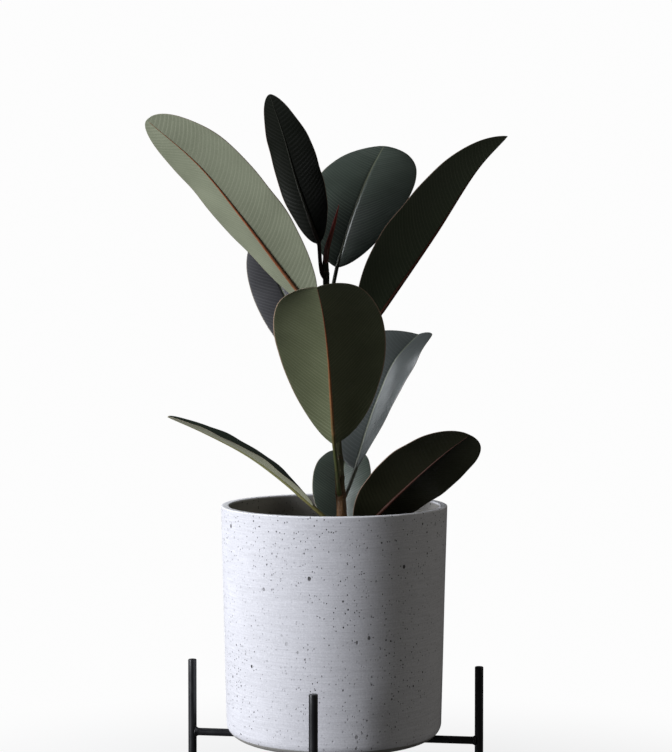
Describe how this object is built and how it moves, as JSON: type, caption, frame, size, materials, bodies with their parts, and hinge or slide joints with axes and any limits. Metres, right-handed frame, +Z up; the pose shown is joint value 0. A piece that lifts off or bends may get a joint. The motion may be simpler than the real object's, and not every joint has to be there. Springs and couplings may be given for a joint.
{
  "type": "potted rubber plant",
  "caption": "Young rubber plant with broad glossy leaves on one stem, in a cast concrete cylinder pot held by a black steel rod stand.",
  "frame": {"origin": "on the pot's axis, in the plane of the floor that the four foot caps stand on", "axes": "+Z up along the pot's axis; +X to the right and +Y away from a viewer in front, who sees the upright front leaf and the front post"},
  "size_m": [0.3757, 0.3592, 0.8443],
  "materials": {
    "concrete": "matte",
    "black_steel": "satin",
    "black_rubber": "matte",
    "soil": "matte",
    "bark": "satin",
    "bud": "satin",
    "leaf": "gloss"
  },
  "bodies": {
    "root": {"pot": "concrete", "drain_plug": "black_rubber", "potting_soil": "soil", "main_stem": "bark", "bud_sheath": "bud", "leaf_upper_left": "leaf", "leaf_top_centre": "leaf", "leaf_top_back": "leaf", "leaf_upper_right": "leaf", "leaf_left_back": "leaf", "leaf_front": "leaf", "leaf_middle_right": "leaf", "leaf_lower_left": "leaf", "leaf_lower_right": "leaf", "leaf_lower_back": "leaf", "post_front": "black_steel", "post_right": "black_steel", "post_rear": "black_steel", "post_left": "black_steel", "crossbar_long": "black_steel", "crossbar_front": "black_steel", "crossbar_rear": "black_steel", "foot_front": "black_rubber", "foot_right": "black_rubber", "foot_rear": "black_rubber", "foot_left": "black_rubber"}
  },
  "joints": []
}
